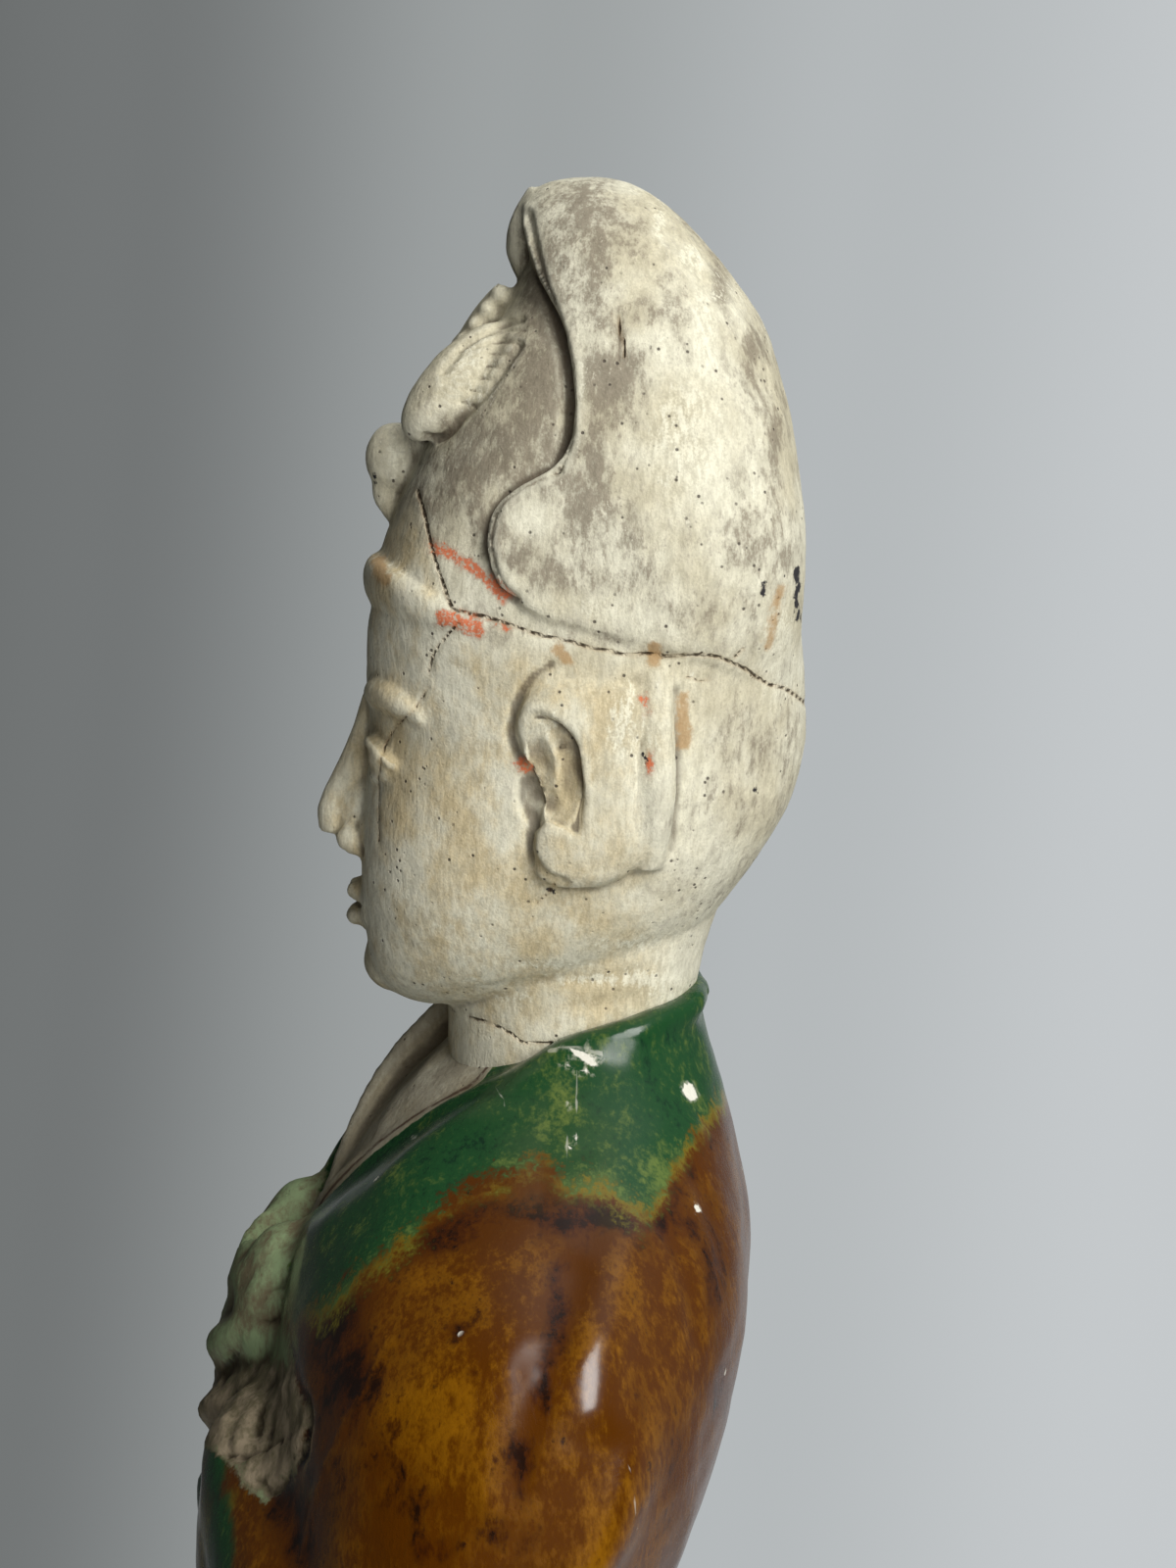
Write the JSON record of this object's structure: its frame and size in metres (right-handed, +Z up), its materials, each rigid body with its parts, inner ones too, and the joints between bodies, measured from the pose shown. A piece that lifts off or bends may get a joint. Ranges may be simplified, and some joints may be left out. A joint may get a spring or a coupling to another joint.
{
  "type": "glazed pottery tomb figure",
  "caption": "Standing robed official in a tall bird cap, glazed pottery with an unglazed head, on a low rockwork base.",
  "frame": {"origin": "centre of the underside of the base, at the level it stands on", "axes": "+Z up along the standing figure, -Y the way the figure faces, +X its left side"},
  "size_m": [0.2748, 0.2338, 1],
  "materials": {
    "glaze": "glossy amber, green and cream lead glaze with brown blotches",
    "slip": "matt unglazed cream clay with worn paint and dirt"
  },
  "bodies": {
    "root": {"tomb_figure": "glaze"}
  },
  "joints": []
}
